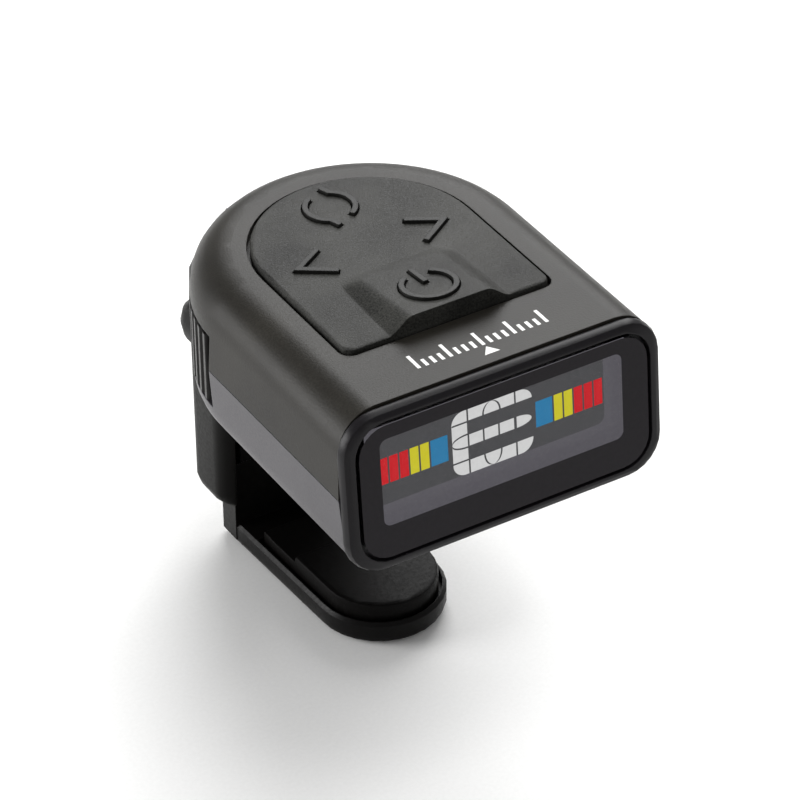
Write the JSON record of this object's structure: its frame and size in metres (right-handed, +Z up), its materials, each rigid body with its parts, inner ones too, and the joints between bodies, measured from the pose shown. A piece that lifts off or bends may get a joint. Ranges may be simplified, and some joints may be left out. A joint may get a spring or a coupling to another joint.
{
  "type": "clip-on tuner",
  "caption": "Clip-on instrument tuner: D-shaped case with a rubber keypad on top, a leaning colour display at one end and a ratchet clamp with side release levers at the other.",
  "frame": {"origin": "on the foot's underside, below the centre of the case's round rear end", "axes": "+X to the right as seen from the display, +Y towards the clamp, +Z up"},
  "size_m": [0.032, 0.0434, 0.0415],
  "materials": {
    "black_plastic": "fine satin grain",
    "charcoal_plastic": "fine satin grain",
    "bezel_plastic": "smooth",
    "clear_acrylic": "polished",
    "black_silicone": "matt",
    "pad_rubber": "matt",
    "black_nylon": "satin",
    "lcd_glass": "polished",
    "white_diffuser": "matt",
    "polyimide": "satin",
    "board_green": "solder mask",
    "chip_epoxy": "matt",
    "bright_steel": "nickel plated",
    "brass": "tinned"
  },
  "bodies": {
    "case": {"bottom_shell": "charcoal_plastic", "top_shell": "black_plastic", "display_bezel": "bezel_plastic", "display_lens": "clear_acrylic", "keypad": "black_silicone", "seat_pad": "pad_rubber", "backlight_panel": "white_diffuser", "battery_cell": "bright_steel", "circuit_board": "board_green", "display_ribbon": "polyimide", "lcd_panel": "lcd_glass", "lever_pin_left": "bright_steel", "lever_pin_right": "bright_steel", "lever_spring_left": "bright_steel", "lever_spring_right": "bright_steel", "negative_contact": "brass", "pawl_pin": "bright_steel", "pawl_spring": "bright_steel", "piezo_ceramic": "white_diffuser", "piezo_disc": "brass", "positive_contact": "brass", "switch_mode": "bright_steel", "switch_next": "bright_steel", "switch_power": "bright_steel", "switch_previous": "bright_steel", "timing_crystal": "bright_steel", "tuner_chip": "chip_epoxy", "case_screw_front_left": "bright_steel", "case_screw_front_right": "bright_steel", "case_screw_rear_left": "bright_steel", "case_screw_rear_right": "bright_steel"},
    "battery_door": {"battery_door": "charcoal_plastic"},
    "clamp_arm": {"clamp_arm": "black_nylon", "foot_pad": "pad_rubber"},
    "release_lever_left": {"release_lever_left": "black_nylon"},
    "release_lever_right": {"release_lever_right": "black_nylon"},
    "pawl": {"pawl": "black_nylon"},
    "key_mode": {"key_mode": "black_silicone"},
    "key_next": {"key_next": "black_silicone"},
    "key_power": {"key_power": "black_silicone"},
    "key_previous": {"key_previous": "black_silicone"}
  },
  "joints": [
    {"name": "clamp_slide", "type": "slide", "parent": "case", "child": "clamp_arm", "axis": [0, 0, 1], "range_m": [0, 0.0165]},
    {"name": "battery_door_twist", "type": "hinge", "parent": "case", "child": "battery_door", "pos_m": [0, -0.007, 0.02405], "axis": [0, 0, 1], "range_deg": [-45, 0]},
    {"name": "release_lever_left_squeeze", "type": "hinge", "parent": "case", "child": "release_lever_left", "pos_m": [-0.0099, 0.0079, 0.0278], "axis": [0, 0, 1], "range_deg": [0, 4], "stiffness_Nm_per_rad": 0.05, "springref_deg": -5.73},
    {"name": "release_lever_right_squeeze", "type": "hinge", "parent": "case", "child": "release_lever_right", "pos_m": [0.0099, 0.0079, 0.0278], "axis": [0, 0, -1], "range_deg": [0, 4], "stiffness_Nm_per_rad": 0.05, "springref_deg": -5.73},
    {"name": "pawl_swing", "type": "hinge", "parent": "case", "child": "pawl", "pos_m": [0, 0.01735, 0.02955], "axis": [1, 0, 0], "range_deg": [0, 2.8], "stiffness_Nm_per_rad": 0.02, "springref_deg": -5.73},
    {"name": "key_mode_press", "type": "slide", "parent": "case", "child": "key_mode", "axis": [0, 0, -1], "range_m": [0, 0.0003], "stiffness_N_per_m": 600, "springref_m": -0.0002},
    {"name": "key_next_press", "type": "slide", "parent": "case", "child": "key_next", "axis": [0, 0, -1], "range_m": [0, 0.0003], "stiffness_N_per_m": 600, "springref_m": -0.0002},
    {"name": "key_power_press", "type": "slide", "parent": "case", "child": "key_power", "axis": [0, 0, -1], "range_m": [0, 0.0003], "stiffness_N_per_m": 600, "springref_m": -0.0002},
    {"name": "key_previous_press", "type": "slide", "parent": "case", "child": "key_previous", "axis": [0, 0, -1], "range_m": [0, 0.0003], "stiffness_N_per_m": 600, "springref_m": -0.0002}
  ],
  "couplings": [
    {"joint": "release_lever_right_squeeze", "follows": "release_lever_left_squeeze", "ratio": 1},
    {"joint": "pawl_swing", "follows": "release_lever_left_squeeze", "ratio": 0.7}
  ]
}
